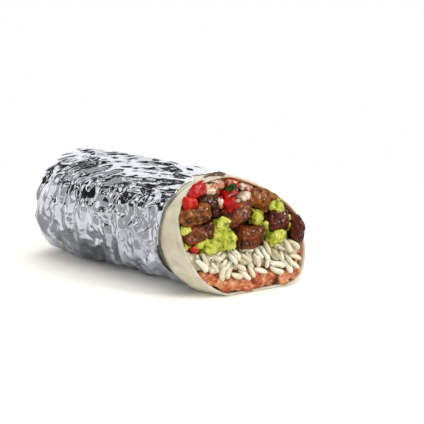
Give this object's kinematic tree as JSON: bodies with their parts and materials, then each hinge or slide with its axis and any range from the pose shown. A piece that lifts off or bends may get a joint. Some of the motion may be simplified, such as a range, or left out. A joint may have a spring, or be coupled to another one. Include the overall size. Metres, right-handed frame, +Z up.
{
  "type": "burrito",
  "caption": "Half of a large burrito lying on its side in crumpled foil, its slanted cut showing beans, rice, guacamole, steak cubes and tomato salsa inside a thin tortilla.",
  "frame": {"origin": "centre of the bounding box in X and Y, on the surface that the burrito lies on", "axes": "+X along the burrito's length towards its cut end, +Y to its right seen from its tail, +Z up"},
  "size_m": [0.1576, 0.0754, 0.0663],
  "materials": {
    "foil": "crumpled, bright side out",
    "tortilla": "soft, floury, with toasted spots",
    "beans": "moist coarse mash",
    "rice": "moist long grains",
    "guacamole": "moist, lumpy",
    "steak": "browned, with a wet sheen",
    "salsa": "wet",
    "tomato": "wet",
    "onion": "wet, slightly see-through",
    "leaf": "thin fresh leaf"
  },
  "bodies": {
    "root": {"foil_wrap": "foil", "tortilla": "tortilla", "refried_beans": "beans", "rice": "rice", "guacamole": "guacamole", "guacamole_dab": "guacamole", "steak_layer": "steak", "salsa_layer": "salsa", "cilantro_leaf": "leaf", "steak_1": "steak", "steak_2": "steak", "steak_3": "steak", "steak_4": "steak", "steak_5": "steak", "steak_6": "steak", "steak_7": "steak", "steak_8": "steak", "tomato_1": "tomato", "tomato_2": "tomato", "tomato_3": "tomato", "tomato_4": "tomato", "tomato_5": "tomato", "tomato_6": "tomato", "tomato_7": "tomato", "onion_1": "onion", "onion_2": "onion", "onion_3": "onion", "onion_4": "onion", "onion_5": "onion"}
  },
  "joints": []
}
